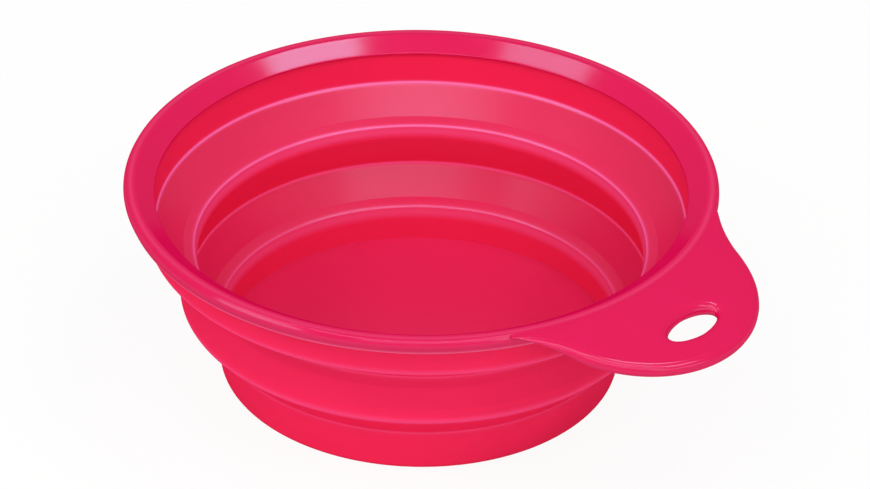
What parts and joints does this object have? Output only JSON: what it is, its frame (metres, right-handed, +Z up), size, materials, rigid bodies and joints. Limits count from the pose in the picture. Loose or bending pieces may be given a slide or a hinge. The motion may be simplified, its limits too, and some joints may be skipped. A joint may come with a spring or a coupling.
{
  "type": "collapsible bowl",
  "caption": "Collapsible silicone bowl: stiff glossy rim with a slotted hanging tab, and upright bands that telescope over thin folds to lie nearly flat.",
  "frame": {"origin": "centre of the standing face, on the bowl's axis", "axes": "+Z up along the bowl's axis, +X towards the hanging tab"},
  "size_m": [0.1635, 0.14, 0.0504],
  "materials": {
    "rim_plastic": "glossy moulded plastic, raspberry pink",
    "silicone": "satin moulded silicone, raspberry pink"
  },
  "bodies": {
    "base": {"base_wall": "silicone", "floor_disc": "silicone", "lower_fold": "silicone"},
    "middle": {"middle_band": "silicone", "upper_fold": "silicone"},
    "rim": {"rim_frame": "rim_plastic", "hanging_tab": "rim_plastic", "collar_band": "silicone"}
  },
  "joints": [
    {"name": "lower_fold_collapse", "type": "slide", "parent": "base", "child": "middle", "axis": [0, 0, -1], "range_m": [0, 0.0174], "deforming": ["lower_fold"]},
    {"name": "upper_fold_collapse", "type": "slide", "parent": "middle", "child": "rim", "axis": [0, 0, -1], "range_m": [0, 0.015], "deforming": ["upper_fold"]}
  ]
}
